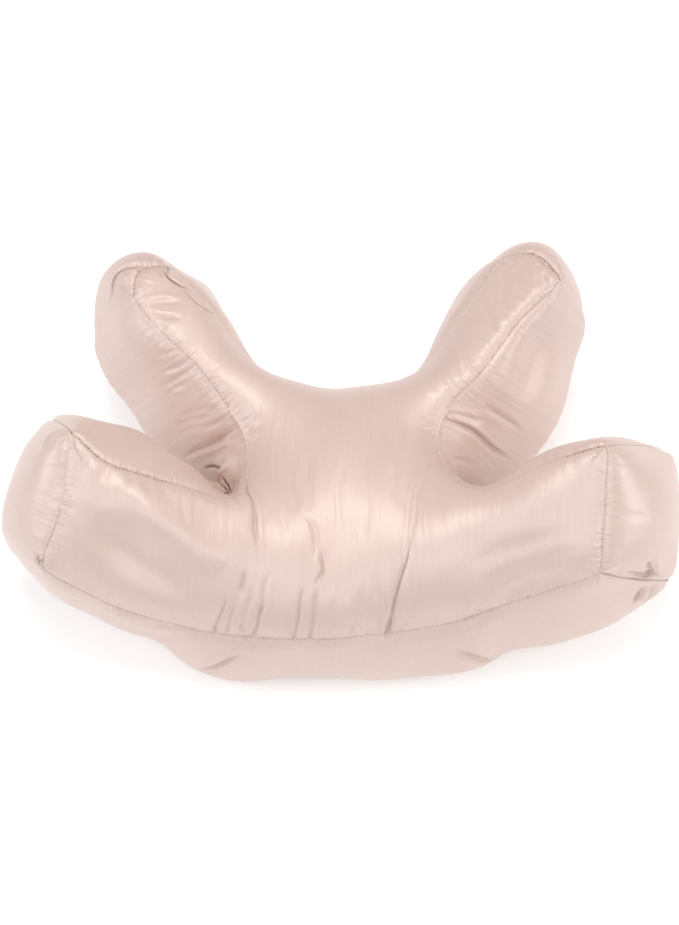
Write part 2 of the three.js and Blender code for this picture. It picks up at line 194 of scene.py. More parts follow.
# Folds by place: name, panel, whether they stay full at their last point, and for each its half width, its
# depth (below zero it swells), the ridge beside it as a share of the depth (plus to the left of the run,
# minus to the right), how dark the painted shade is along the sharp line that it closes to, and the points
# that it runs through.
FOLDS = [
    ("creases from the left notch", "top", False, [
        (2.2, 2.0, 0.5, 0.7,
         [(-74, -6, 94), (-69, -47, 118), (-65, -69, 122), (-62, -86, 116), (-63, -100, 111)]),
        (3.0, 0.7, 0.4, 0, [(-64, -30, 114), (-58, -50, 119), (-55, -70, 120)]),
        (3.4, 0.7, 0.4, 0, [(-52, -40, 119), (-42, -80, 117)]),
        (3.7, 0.6, 0.3, 0, [(-39, -20, 118), (-35, -60, 120)]),
    ]),
    ("fans at the notches", "top", False, [
        (1.8, 0.9, 0.5, 0, [(-77, 40, 104), (-64, 43, 110)]),
        (1.8, 1.0, 0.5, 0, [(-76, 33, 101), (-62, 31, 109)]),
        (2.0, 0.9, 0.5, 0, [(-75, 25, 96), (-60, 19, 106)]),
        (1.8, 0.8, 0.5, 0, [(-76, 17, 91), (-64, 7, 102)]),
        (1.8, 1.0, -0.5, 0, [(78, 41, 101), (66, 38, 109)]),
        (1.8, 1.2, -0.5, 0, [(77, 32, 99), (62, 27, 110)]),
        (2.0, 1.2, -0.5, 0, [(76, 24, 97), (60, 13, 111)]),
        (2.0, 1.0, -0.5, 0, [(77, 16, 95), (62, -2, 113)]),
        (2.2, 0.9, -0.5, 0, [(82, 9, 91), (68, -17, 115)]),
    ]),
    ("feet on the front seam", "top", True, [
        (2.3, 2.0, 0.6, 0.4, [(-87, -120, 98), (-95, -136, 73)]),
        (2.2, 1.6, 0.6, 0, [(-79, -122, 96), (-85, -136, 74)]),
        (2.3, 1.8, 0.6, 0, [(-68, -117, 102), (-74, -138, 76)]),
        (2.2, 2.2, 0.6, 0.6, [(-58, -126, 92), (-66, -140, 73)]),
        (2.4, 2.4, 0.7, 0, [(-15, -112, 102), (-19, -130, 85), (-24, -141, 68)]),
        (2.2, 2.0, 0.6, 0.4, [(-27, -114, 102), (-36, -141, 66)]),
        (2.3, 1.1, 0.4, 0, [(-3, -121, 96), (-7, -139, 77)]),
        (2.3, 1.2, 0.4, 0, [(18, -112, 102), (9, -139, 75)]),
        (2.6, 2.4, -0.7, 0.8,
         [(56, -78, 115), (48, -103, 107), (45, -115, 97), (40, -126, 85), (35, -137, 70)]),
        (2.3, 1.2, -0.4, 0, [(54, -122, 90), (47, -135, 70)]),
    ]),
    ("folds of the middle", "top", False, [
        (2.3, 1.6, -0.4, 0.4, [(-73, -106, 109), (-74, -122, 98)]),
        (2.4, 1.7, 0.6, 0, [(-54, -103, 107), (-59, -131, 88)]),
        (4.6, 0.7, 0.4, 0, [(-24, -2, 119), (-26, -30, 120), (-22, -60, 120)]),
        (2.4, 1.6, -0.6, 0, [(-25, -62, 120), (-20, -76, 116), (-18, -96, 110)]),
        (2.2, 2.2, -0.6, 0.6, [(-16, -88, 112), (-12, -102, 105), (-19, -114, 102)]),
        (2.5, 0.9, 0.4, 0, [(8, -102, 107), (6, -124, 92)]),
        (2.5, 0.9, 0.4, 0, [(29, -100, 109), (26, -124, 93)]),
        (3.4, 0.6, 0.4, 0, [(18, -28, 122), (21, -52, 122), (20, -84, 115)]),
        (3.4, 0.6, 0.4, 0, [(2, -14, 121), (0, -40, 122), (-3, -74, 118)]),
        (3.4, 1.1, 0.4, 0, [(40, -16, 120), (47, -56, 122)]),
        (2.8, 1.4, -0.6, 0, [(66, -24, 119), (57, -53, 120), (54, -84, 113)]),
    ]),
    ("front left arm", "top", False, [
        (16.0, 7.0, 0.0, 0,
         [(-188, -86, 147), (-171, -95, 135), (-154, -103, 124), (-136, -112, 111), (-116, -120, 100)]),
        (15.0, -7.0, 0.0, 0,
         [(-162, -56, 161), (-144, -76, 154), (-126, -90, 140), (-105, -97, 126), (-86, -104, 115)]),
        (2.3, 1.1, 0.5, 0, [(-202, -29, 175), (-204, -39, 170)]),
        (3.2, 1.5, 0.6, 0, [(-191, -41, 171), (-195, -54, 167)]),
        (2.5, 0.9, -0.5, 0, [(-180, -48, 167), (-181, -60, 164)]),
        (3.7, 1.4, 0.5, 0, [(-171, -48, 162), (-175, -64, 161)]),
        (2.8, 0.8, 0.5, 0, [(-160, -48, 156), (-157, -63, 155)]),
        (3.4, 1.2, -0.5, 0, [(-151, -48, 151), (-145, -70, 150)]),
        (3.0, 0.6, 0.5, 0, [(-138, -47, 144), (-131, -68, 145)]),
        (3.0, 0.7, 0.4, 0, [(-120, -62, 142), (-119, -82, 136)]),
    ]),
    ("front left end and wall", "wall", False, [
        (3.4, 2.8, 0.4, 1.1, [(-235, -96, 117), (-230, -106, 108)]),
        (3.0, 1.2, 0.5, 0, [(-221, -38, 166), (-217, -24, 167), (-206, -20, 173)]),
        (3.4, 1.2, 0.5, 0, [(-241, -79, 122), (-226, -94, 120)]),
        (2.3, 1.2, 0.4, 0, [(-174, -122, 97), (-189, -121, 88)]),
        (2.3, 1.5, 0.4, 0, [(-163, -125, 94), (-179, -124, 84)]),
        (2.3, 1.4, 0.4, 0, [(-154, -127, 88), (-170, -127, 79)]),
        (2.8, 1.5, 0.4, 0, [(-123, -132, 75), (-146, -133, 68)]),
        (3.0, 1.2, 0.4, 0, [(-112, -135, 68), (-142, -133, 48)]),
    ]),
    ("belly", "wall", False, [
        (3.4, 2.8, 0.5, 0.6, [(-110, -143, 22), (-93, -149, 40), (-74, -148, 55)]),
        (3.4, 2.6, -0.5, 0.5, [(88, -143, 52), (105, -142, 38), (122, -134, 19)]),
    ]),
    ("rear left wall", "wall", False, [
        (2.3, 0.7, 0.4, 0, [(-128, 93, 128), (-147, 92, 119)]),
        (2.3, 1.0, 0.4, 0, [(-120, 85, 123), (-146, 84, 110)]),
        (2.5, 1.2, 0.4, 0, [(-115, 80, 121), (-146, 79, 98)]),
        (2.3, 1.0, 0.4, 0, [(-124, 73, 111), (-138, 74, 99)]),
        (3.0, 1.2, 0.4, 0, [(-92, 51, 107), (-132, 60, 84)]),
        (3.2, 1.6, 0.4, 0, [(-94, 50, 105), (-135, 55, 74)]),
        (3.0, 1.4, 0.4, 0, [(-88, 44, 103), (-132, 51, 70)]),
        (2.8, 2.6, 0.5, 0.6, [(-83, 35, 98), (-128, 39, 53)]),
        (2.8, 1.2, 0.4, 0, [(-80, 31, 96), (-108, 34, 76)]),
    ]),
    ("lip and slit of the left notch", "wall", False, [
        (13.0, -16.0, 0.0, 0, [(-82, 24, 82), (-84, 8, 62), (-88, -10, 58)]),
        (2.2, 0.8, 0.4, 2.2, [(-111, 25, 56), (-104, 24, 62), (-95, 16, 71)]),
        (2.2, 0.8, 0.4, 4.0, [(-95, 6, 74), (-88, -8, 70)]),
    ]),
    ("rear left end", "wall", False, [
        (2.2, 3.0, 0.5, 1.2,
         [(-190, 150, 122), (-187, 161, 131), (-180, 166, 137), (-170, 168, 140), (-158, 173, 138)]),
    ]),
    ("rear left tip and its inner edge", "top", False, [
        (2.2, 2.0, -0.3, 2.4, [(-148, 167, 136), (-137, 158, 137), (-126, 153, 132)]),
        (2.0, 1.6, -0.3, 1.8, [(-130, 149, 134), (-117, 139, 128), (-105, 135, 116)]),
        (3.0, 1.6, 0.5, 0, [(-156, 128, 140), (-147, 132, 141), (-130, 136, 136)]),
        (2.5, 1.6, 0.5, 0.5, [(-152, 122, 139), (-141, 118, 139), (-129, 118, 136)]),
        (2.5, 1.1, -0.5, 0, [(-143, 114, 138), (-147, 105, 134)]),
        (2.8, 1.2, -0.5, 0, [(-159, 124, 138), (-143, 109, 135)]),
    ]),
    ("rear right wall", "wall", False, [
        (2.2, 2.0, 0.5, 0.7, [(80, 46, 103), (97, 42, 94), (115, 40, 79), (140, 38, 50)]),
        (2.5, 0.9, 0.5, 0, [(83, 47, 103), (117, 51, 90)]),
        (2.5, 1.2, 0.5, 0.4, [(116, 58, 101), (133, 56, 87), (149, 54, 68)]),
        (2.1, 0.9, 0.4, 0, [(87, 16, 85), (104, 26, 65)]),
        (16.0, 3.4, 0.0, 0, [(172, 118, 122), (158, 92, 110), (144, 66, 96)]),
    ]),
    ("rear right arm", "top", False, [
        (3.9, 1.0, 0.4, 0, [(114, 146, 128), (122, 122, 131), (130, 102, 130)]),
        (3.0, 0.9, 0.4, 0, [(121, 118, 133), (132, 100, 130)]),
        (3.4, 0.7, 0.4, 0, [(74, 102, 102), (94, 62, 114)]),
        (3.4, 0.7, 0.4, 0, [(81, 106, 108), (100, 68, 116)]),
        (2.4, 2.0, 0.6, 0.6, [(160, 184, 140), (169, 171, 144), (177, 163, 143), (183, 154, 143)]),
        (2.4, 1.6, 0.6, 0.6, [(165, 157, 147), (168, 150, 147), (172, 144, 145)]),
    ]),
    ("front right end", "wall", False, [
        (3.4, 4.2, 0.3, 1.1, [(216, -106, 108), (228, -100, 96), (240, -93, 82), (252, -86, 68)]),
        (3.4, 3.4, 0.5, 0.8, [(234, -95, 106), (245, -91, 78)]),
        (3.4, 3.0, 0.5, 0.7, [(236, -97, 72), (230, -107, 62)]),
        (3.2, 2.6, -0.5, 0, [(249, -91, 66), (242, -98, 50)]),
        (6.0, 1.8, 0.0, 0, [(198, -112, 119), (214, -106, 112)]),
        (3.0, 0.7, 0.5, 0, [(206, -80, 149), (238, -75, 134)]),
    ]),
    ("front right arm", "top", False, [
        (8.0, 3.0, 0.0, 0, [(118, -117, 92), (150, -114, 108), (172, -112, 120), (190, -106, 130)]),
        (7.0, 1.4, 0.4, 0, [(99, -102, 116), (136, -97, 131), (172, -91, 145)]),
        (6.0, 1.2, 0.4, 0, [(107, -116, 103), (144, -109, 121), (180, -103, 137)]),
    ]),
]

# The folds one by one, each with its panel and whether it stays full
ALL_FOLDS = [(where, full, *row) for _, where, full, rows in FOLDS for row in rows]

# How plainly each stretch of the top seam shows, by run: the place along the run where it ends, and the
# share. The share sets the groove and the painted shade along the seam; below zero the edge rolls up as a
# ridge, and a painted highlight is laid along it.
SEAM_LINES = {
    "left": [(0.34, 0.7), (0.58, -0.9), (0.76, 0.7), (1.0, 1.5)],
    "front_left": [(0.55, 0.15), (0.9, 0.9), (1.0, 1.8)],
    "front": [(0.2, 0.9), (1.0, 0.55)],
    "front_right": [(1.0, 0.6)],
    "right": [(0.12, 1.6), (0.32, 0.5), (0.62, -0.9), (1.0, 0.8)],
    "rear_right": [(0.7, 1.6), (1.0, 0.8)],
    "rear": [(0.1, 0.6), (0.88, 0.1), (1.0, 0.5)],
    "rear_left": [(1.0, 1.1)],
}
# The bottom seam, along the front and elsewhere
LOW_FRONT_SEAM = 0.5
PLAIN_SEAM = 0.6

# How plainly the seam down each cap corner shows, from the rear left arm's inner corner round, and the least
# that has stitches
CORNER_SEAMS = [0.7, 0.0, 1.1, 0.2, 1.3, 1.0, 0.3, 0.6]
LEAST_STITCHED = 0.3

# Puckers along the seams: seam, run, place along the run at each end, pitch, reach, height on the top or
# bottom panel, and height on the wall.
PUCKERS = [
    ("top", "left", 0.02, 0.46, 7.0, 8.0, 0.25, 0.8),
    ("top", "left", 0.56, 0.99, 11.0, 8.0, 1.7, 0.4),
    ("top", "front", 0.02, 0.32, 10.0, 6.0, 0.4, 0.25),
    ("top", "front", 0.32, 0.68, 9.0, 12.0, 0.9, 0.1),
    ("top", "front", 0.68, 0.98, 6.0, 4.0, 0.5, 0.5),
    ("top", "right", 0.02, 0.45, 10.0, 7.0, 0.8, 0.5),
    ("top", "right", 0.6, 0.98, 12.0, 10.0, 1.6, 0.3),
    ("top", "rear", 0.02, 0.98, 10.0, 7.0, 0.8, 0.8),
    ("top", "rear_left", 0.05, 0.95, 10.0, 8.0, 1.2, 1.0),
    ("top", "front_left", 0.05, 0.95, 13.0, 8.0, 0.4, 0.6),
    ("top", "front_right", 0.05, 0.95, 13.0, 5.0, 0.3, 0.3),
    ("top", "rear_right", 0.05, 0.95, 10.0, 8.0, 1.3, 0.5),
    ("low", "left", 0.02, 0.98, 10.0, 7.0, 0.6, 0.6),
    ("low", "front", 0.02, 0.98, 10.0, 7.0, 0.5, 0.5),
    ("low", "right", 0.02, 0.98, 10.0, 7.0, 0.6, 0.6),
    ("low", "rear", 0.02, 0.98, 10.0, 7.0, 0.6, 0.6),
    ("low", "front_right", 0.05, 0.95, 9.0, 10.0, 0.8, 1.2),
    ("low", "front_left", 0.05, 0.95, 10.0, 8.0, 0.8, 0.8),
]
# How soon a row of puckers fades at its ends, the height that counts as level, and the middle strength.
PUCKER_FADE = 0.04
PUCKER_LEVEL = 0.55
PUCKER_STRENGTH = 0.65
# Waves along the seam by which the puckers drift (share of the pitch, length, start), and by which they
# grow and shrink (length, start).
PUCKER_DRIFTS = [(0.3, 17.0, 0.0), (0.2, 7.3, 1.0)]
PUCKER_GROWTHS = [(23.0, 0.7), (9.1, 0.0)]

# Lumps of stuffing under the cloth: height, the dome over which they are whole, and the direction, length
# and start of each slow wave.
LUMP_HEIGHT = 1.1
LUMP_DOME = 150.0
LUMP_WAVES = [
    ((0.8, 0.6, 0.2), 84.0, 0.4),
    ((-0.5, 0.8, 0.3), 67.0, 1.9),
    ((0.3, -0.5, 0.8), 58.0, 3.1),
    ((0.9, -0.3, -0.2), 49.0, 5.0),
]

# Stitches: sizes, and the rings of one stitch as shares of its length and radius.
STITCH_PITCH = 3.2
STITCH_LENGTH = 2.2
STITCH_RADIUS = 0.28
STITCH_SIDES = 6
STITCH_LIFT = 0.5
STITCH_HEADING = 0.6
STITCH_RINGS = np.array([(-0.5, 0.4), (-0.38, 1.0), (0.38, 1.0), (0.5, 0.4)])

# Patterns of the satin: size across the warp, size along it, and detail. The floats are a tenth of a
# millimetre apart, too fine to show, and the grain draws them eight times as coarse.
SPECKLES = {
    "streak": (2.5, 60.0, 3.0),
    "cloud": (70.0, 70.0, 2.0),
    "crinkle": (9.0, 50.0, 2.0),
    "grain": (0.8, 3.5, 2.0),
}
# Cloth pulled up to a seam: size of the pulls along it and away from it, which is also where they end.
PULL_ALONG = 3.6
PULL_AWAY = 16.0
# Half width of a crease's line of painted shade, how far that painted shade darkens the cloth, how far the
# painted highlight lightens a rolled seam edge, and the size of the thread's twist
CREASE_LINE = 0.9
CREASE_SHADE = 0.45
ROLLED_EDGE_HIGHLIGHT = -0.8
THREAD_TWIST = 1.5

# Stage: the floor's half side, and each lamp's name, place, size in metres, watts and colour.
FLOOR_SIDE = 4.0
LAMP_TARGET = (0, 0, 0.08)
LAMPS = [
    ("overhead", (-0.1, 0.2, 1.9), 1.0, 12.6, "#fffaf6"),
    ("left", (-1.6, -0.4, 1.1), 0.9, 8.8, "#f1f9ff"),
    ("right", (1.7, -0.4, 0.9), 0.9, 8.2, "#fafdff"),
    ("over the camera", (0.1, -1.2, 1.7), 1.2, 6.4, "#fdfdfd"),
    ("front left", (-1.3, -1.4, 0.6), 0.9, 0.4, "#f1f9ff"),
    ("rear right", (0.9, 1.0, 1.5), 0.9, 3.4, "#ffede3"),
]

# Camera
VIEW_ELEVATION = 55.0
VIEW_DISTANCE = 1.7
VIEW_TARGET = (-0.0004, -0.020, 0.080)
PHOTO_HEIGHT = 925
FOCAL_PIXELS = 2115.0
SENSOR = 36.0

# Triangles are paired to quads within this angle, in radians. A refined point is sewn above this share.
# Points are looked up so many at one time.
JOIN_ANGLE = 0.7
WHOLLY_SEWN = 0.99
AT_ONCE = 4000

def lengths_along(path):
    """Length along a path at each of its points."""
    return np.concatenate([[0.0], np.cumsum(np.linalg.norm(np.diff(path, axis=0), axis=1))])

def picked(path, lengths, at):
    """The points of a path at some lengths along it."""
    return np.stack([np.interp(at, lengths, path[:, k]) for k in range(3)], 1)

def evened(loop):
    """A closed loop with each point moved half way to the middle of its two neighbours."""
    return loop / 2 + (np.roll(loop, 1, 0) + np.roll(loop, -1, 0)) / 4

def smooth_run(points, per_span=SPAN_STEPS):
    """Centripetal Catmull-Rom curve through the points. Each span blends its four nearest points,
    with knots spaced by the square root of the distance between them."""
    held = np.vstack([2 * points[0] - points[1], points, 2 * points[-1] - points[-2]])
    spans = []
    for i in range(1, len(held) - 2):
        p = held[i - 1:i + 3]
        knots = np.concatenate([[0.0], np.cumsum(np.linalg.norm(np.diff(p, axis=0), axis=1) ** 0.5)])
        u = np.linspace(knots[1], knots[2], per_span, endpoint=False)[:, None]

        def between(a, b, ka, kb):
            return ((kb - u) * a + (u - ka) * b) / (kb - ka)

        first = [between(p[k], p[k + 1], knots[k], knots[k + 1]) for k in range(3)]
        second = [between(first[k], first[k + 1], knots[k], knots[k + 2]) for k in range(2)]
        spans.append(between(second[0], second[1], knots[1], knots[2]))
    return np.vstack(spans + [points[-1:]])

def run_columns(rows):
    """Top and bottom seam points of one run, one pair for each step along its middle line, with each
    pair's place along the run and the run's length."""
    table = np.array([row[1:] for row in rows], float)
    top = smooth_run(table[:, :3])
    low = smooth_run(table[:, :3] + table[:, 3:])
    lengths = lengths_along((top + low) / 2)
    cells = max(LEAST_CELLS, round(lengths[-1] / SKIN_STEP))
    at = np.linspace(0.0, lengths[-1], cells, endpoint=False)
    return picked(top, lengths, at), picked(low, lengths, at), np.arange(cells) / cells, lengths[-1]

def sewn_outline():
    """Columns of the whole outline: seam points, the run each column is in, its place along that run,
    the run's length, the length so far, and the columns where two runs meet. Columns near a cap corner
    are evened out."""
    made = [run_columns(rows) for rows in RUNS.values()]
    counts = [len(m[0]) for m in made]
    corners = np.concatenate([[0], np.cumsum(counts)[:-1]])
    top = np.vstack([m[0] for m in made])
    low = np.vstack([m[1] for m in made])
    n = len(top)
    apart = np.abs(np.arange(n)[:, None] - corners[None])
    close = (np.minimum(apart, n - apart) <= CORNER_REACH).any(1)[:, None]
    for _ in range(CORNER_PASSES):
        top = np.where(close, evened(top), top)
        low = np.where(close, evened(low), low)
    return {
        "top": top,
        "low": low,
        "run": np.repeat(list(RUNS), counts),
        "along": np.concatenate([m[2] for m in made]),
        "length": np.repeat([m[3] for m in made], counts),
        "arc": lengths_along(top + low) / 2,
        "corners": corners,
    }

def is_inside(loop, points):
    """True for plan points inside a loop: a line to the right crosses it an odd number of times."""
    x, y = points[:, :1], points[:, 1:2]
    x0, y0 = loop[None, :, 0], loop[None, :, 1]
    x1, y1 = np.roll(x0, -1, 1), np.roll(y0, -1, 1)
    crosses = ((y0 > y) != (y1 > y)) & (x < (x1 - x0) * (y - y0) / (y1 - y0 + TINY) + x0)
    return crosses.sum(1) % 2 == 1

def heights_inside(loop, points):
    """Heights carried from the seam loop to points inside it by mean value weights: the tangents of the
    half angles to the two neighbouring seam points, over the distance."""
    to_seam = loop[None, :, :2] - points[:, None]
    far = np.linalg.norm(to_seam, axis=2) + SMALL
    after, far_after = np.roll(to_seam, -1, 1), np.roll(far, -1, 1)
    cross = to_seam[..., 0] * after[..., 1] - to_seam[..., 1] * after[..., 0]
    tangent = cross / (far * far_after + (to_seam * after).sum(2) + SMALL)
    weight = (np.roll(tangent, 1, 1) + tangent) / far
    return weight @ loop[:, 2] / weight.sum(1)

def panel(loop, step):
    """A panel inside a seam loop: the loop's points, then a square lattice, and its triangles facing up."""
    plan = loop[:, :2]
    low, high = plan.min(0), plan.max(0)
    grid = np.meshgrid(np.arange(low[0], high[0], step), np.arange(low[1], high[1], step))
    lattice = np.stack([g.ravel() for g in grid], 1)
    lattice = lattice[is_inside(plan, lattice)]
    edge = np.vstack([plan, (plan + np.roll(plan, -1, 0)) / 2])
    nearest = np.linalg.norm(lattice[:, None] - edge[None], axis=2).min(1)
    lattice = lattice[nearest > EDGE_CLEARANCE * step]
    flat = [Vector(p) for p in np.vstack([plan, lattice])]
    triangles = delaunay_2d_cdt(flat, [], [list(range(len(plan)))], 1, MERGE_GAP)[2]
    inner = np.column_stack([lattice, heights_inside(loop, lattice)])
    return np.vstack([loop, inner]), np.array([list(t) for t in triangles if len(t) == 3])

def sewn_shell():
    """The sewn skin before stuffing: top panel, wall rows and bottom panel, as points and faces, with
    each point's panel (0 top, 1 wall, 2 bottom), column and place down the wall."""
    outline = sewn_outline()
    top, low = outline["top"], outline["low"]
    ring = np.arange(len(top))
    top_points, top_triangles = panel(top, SKIN_STEP)
    low_points, low_triangles = panel(low, BELLY_STEP)
    rows = max(LEAST_ROWS, round(np.linalg.norm(top - low, axis=1).mean() / SKIN_STEP))
    shares = np.arange(1, rows) / rows
    wall = top[None] + shares[:, None, None] * (low - top)[None]
    points = np.vstack([top_points, wall.reshape(-1, 3), low_points])
    wall_start = len(top_points)
    low_start = wall_start + len(ring) * (rows - 1)
    wall_rings = np.arange(wall_start, low_start).reshape(-1, len(ring))
    rings = np.vstack([ring, wall_rings, low_start + ring])
    low_triangles = low_triangles[:, ::-1] + low_start
    after = np.roll(rings, -1, 1)
    quads = np.stack([rings[:-1], rings[1:], after[1:], after[:-1]], 2).reshape(-1, 4)
    side = np.zeros(len(points), int)
    side[wall_start:low_start] = 1
    side[low_start:] = 2
    column = np.zeros(len(points), int)
    column[rings] = ring
    down = np.zeros(len(points))
    down[rings] = (np.arange(rows + 1) / rows)[:, None]
    seam = np.zeros(len(points), bool)
    seam[rings[[0, -1]]] = True
    seam[rings[:, outline["corners"]]] = True
    return {
        "outline": outline,
        "points": points,
        "triangles": np.vstack([top_triangles, quads[:, [0, 1, 2]], quads[:, [0, 2, 3]], low_triangles]),
        "top_triangles": top_triangles,
        "low_triangles": low_triangles,
        "quads": quads,
        "rings": rings,
        "side": side,
        "column": column,
        "down": down,
        "seam": seam,
        "inner_wall": side == 1,
    }

def edges_of(shell):
    """The number of the shell's points, and each edge of its triangles once, as two arrays of points."""
    triangles = shell["triangles"]
    pairs = np.vstack([triangles[:, [0, 1]], triangles[:, [1, 2]], triangles[:, [2, 0]]])
    pairs = np.unique(np.sort(pairs, 1), axis=0)
    return len(shell["points"]), pairs[:, 0], pairs[:, 1]

def spread(edges, values, weight=1.0):
    """Sum over each point's edges of the value at the edge's other end, times the edge's weight."""
    count, first, second = edges
    if values.ndim == 1:
        forth = np.bincount(first, weight * values[second], count)
        return forth + np.bincount(second, weight * values[first], count)
    return np.stack([spread(edges, values[:, k], weight) for k in range(values.shape[1])], 1)

def relaxed_dome(shell, edges, weight):
    """Dome over each panel: one unit of relaxed curvature everywhere and zero on the seams, solved by
    conjugate gradients on the edge weights."""
    free = ~shell["seam"]
    total = spread(edges, np.ones(len(free)), weight)

    def curvature(u):
        return free * (total * u - spread(edges, u, weight))

    dome = np.zeros(len(free))
    left = free.astype(float)
    scaled = left / total
    heading = scaled.copy()
    power = left @ scaled
    for _ in range(DOME_STEPS):
        bent = curvature(heading)
        gain = power / (heading @ bent)
        dome += gain * heading
        left -= gain * bent
        scaled = left / total
        fresh = left @ scaled
        if fresh < DOME_LEFT:
            break
        heading = scaled + (fresh / power) * heading
        power = fresh
    return dome

def unit(vectors):
    """Vectors scaled to length one, or left at zero."""
    return vectors / (np.linalg.norm(vectors, axis=1, keepdims=True) + TINY)

def point_normals(points, triangles):
    """Sum of the face normals round each point, weighted by area."""
    a, b, c = (points[triangles[:, k]] for k in range(3))
    faces = np.cross(b - a, c - a)
    corners = [np.stack([np.bincount(triangles[:, k], faces[:, j], len(points)) for j in range(3)], 1)
               for k in range(3)]
    return corners[0] + corners[1] + corners[2]

def outward(shell, edges, weight):
    """Outward directions, smoothed inside each panel and left out at the seams."""
    free = ~shell["seam"][:, None]
    normals = unit(point_normals(shell["points"], shell["triangles"]) * free)
    for _ in range(NORMAL_PASSES):
        around = unit(spread(edges, normals, weight))
        normals = free * ((1 - NORMAL_BLEND) * unit(normals) + NORMAL_BLEND * around)
    return unit(normals)

def wall_fullness(shell):
    """How far each point of a wall swells against a plain panel: less at the notches, more at the caps."""
    outline, column = shell["outline"], shell["column"]
    run = outline["run"][column]
    share = np.ones(len(run))
    for name, full in CAP_FULLNESS.items():
        share[run == name] = full
    from_notch = np.abs(2 * outline["along"][column] - 1) ** NOTCH_FULLNESS_POWER
    notched = NOTCH_FULLNESS + (1 - NOTCH_FULLNESS) * from_notch
    share = np.where(np.isin(run, ["left", "right"]), notched, share)
    return np.where(shell["inner_wall"], share, 1.0)

def stuffed(shell):
    """The stuffed skin: each panel swells along its outward direction by a power of its dome, the seams
    are drawn in, the cap corners bow out, and the belly rests flat on the surface."""
    points = shell["points"]
    edges = edges_of(shell)
    _, first, second = edges
    weight = 1 / (EDGE_SHARE * ((points[first] - points[second]) ** 2).sum(1))
    dome = relaxed_dome(shell, edges, weight)
    normals = outward(shell, edges, weight)
    held = dome / (1 + dome / CROWN_LIMIT)
    crown = CROWN_GAIN * np.maximum(held, 0) ** CROWN_POWER * wall_fullness(shell)
    beside = unit(spread(edges, normals))
    bow = np.where(shell["inner_wall"], CORNER_BOW * np.sin(np.pi * shell["down"]), 0.0)
    corner = np.isin(shell["column"], shell["outline"]["corners"]) & shell["seam"] & ~shell["inner_wall"]
    draw = np.where(corner, CORNER_DRAW, SEAM_DRAW)
    seam = shell["seam"][:, None]
    filled = points + np.where(seam, beside * (bow - draw)[:, None], normals * crown[:, None])
    filled[:, 2] = np.maximum(filled[:, 2], 0.0)
    shell["dome"] = dome
    return filled

def eased(shell, points):
    """The cloth eased up to its seams: each seam point, and by half as much each point beside one, moves
    a share of the way to the average of its neighbours, a few times over, and these moves are evened out
    along the seams. Round a cap corner that has no seam the wall is eased the same way, for longer."""
    edges = edges_of(shell)
    around = spread(edges, np.ones(len(points)))[:, None]

    def drawn(places, share):
        return places + share[:, None] * (spread(edges, places) / around - places)

    beside = spread(edges, shell["seam"].astype(float)) > 0
    share = np.where(shell["seam"], EASE_SEAM, np.where(beside, EASE_BESIDE, 0.0))
    start = points
    for _ in range(EASE_PASSES):
        points = drawn(points, share)
    moved = points - start
    rings, corners = shell["rings"], shell["outline"]["corners"]
    for ring in (rings[0], rings[-1]):
        for _ in range(EVEN_PASSES):
            moved[ring] = evened(moved[ring])
    for corner in corners:
        inner = rings[1:-1, corner]
        for _ in range(EVEN_PASSES):
            moved[inner] = moved[inner] / 2 + (moved[rings[:-2, corner]] + moved[rings[2:, corner]]) / 4
    points = start + moved
    for corner, shown in zip(corners, CORNER_SEAMS):
        apart = np.abs(shell["column"] - corner)
        close = shell["inner_wall"] & (np.minimum(apart, rings.shape[1] - apart) <= PLAIN_CORNER_REACH)
        share = np.where(close, PLAIN_CORNER_SHARE * max(0.0, 1 - shown), 0.0)
        for _ in range(PLAIN_CORNER_PASSES):
            points = drawn(points, share)
    points[:, 2] = np.maximum(points[:, 2], 0.0)
    return points

def fold_reach(points, normals, panels, fold, skin_gap):
    """The points that a fold can reach, how far each lies to the left of its middle in half widths, and how
    strong the fold is there. The distance is measured in the plane that touches the skin; the strength rises
    and fades towards the ends, where the fold is narrower too, and the middle wanders from side to side."""
    where, stays_full, half_width = fold[:3]
    line = np.array(fold[-1], float)
    if len(line) > 2:
        line = smooth_run(line, FOLD_SPAN_STEPS)
    before = lengths_along(line)
    share = panels[where]
    reached = (share > 0) & (np.abs(points - line.mean(0)).max(1) < before[-1] + FOLD_MARGIN)
    reached = np.flatnonzero(reached)
    near, facing = points[reached], normals[reached]
    widths = np.full(len(near), FOLD_LOST)
    along = np.zeros(len(near))
    leftward = np.ones(len(near))
    for k, start in enumerate(line[:-1]):
        run = line[k + 1] - start
        part = np.clip((near - start) @ run / (run @ run), 0.0, 1.0)
        apart = near - start - part[:, None] * run
        off_skin = (apart * facing).sum(1)
        across = apart - off_skin[:, None] * facing
        far = np.where(np.abs(off_skin) < skin_gap, np.linalg.norm(across, axis=1) / half_width, np.inf)
        closer = far < widths
        on_left = np.where((np.cross(facing, run) * across).sum(1) < 0, -1.0, 1.0)
        here = before[k] + part * (before[k + 1] - before[k])
        widths = np.where(closer, far, widths)
        along = np.where(closer, here / before[-1], along)
        leftward = np.where(closer, on_left, leftward)
    begins = np.clip((along + FOLD_RUN_ON) / FOLD_FADE, 0.0, 1.0)
    ends = 1.0 if stays_full else np.clip((1 + FOLD_RUN_ON - along) / FOLD_FADE, 0.0, 1.0)
    strength = np.sin(np.pi / 2 * begins) * np.sin(np.pi / 2 * ends)
    sway = np.sin(before[-1] / WANDER_LENGTH * along + line[0, 0])
    wander = min(WANDER_LIMIT, WANDER / half_width) * sway
    left = leftward * widths / (FOLD_END_WIDTH + (1 - FOLD_END_WIDTH) * strength) - wander
    return reached, left, strength * share[reached]

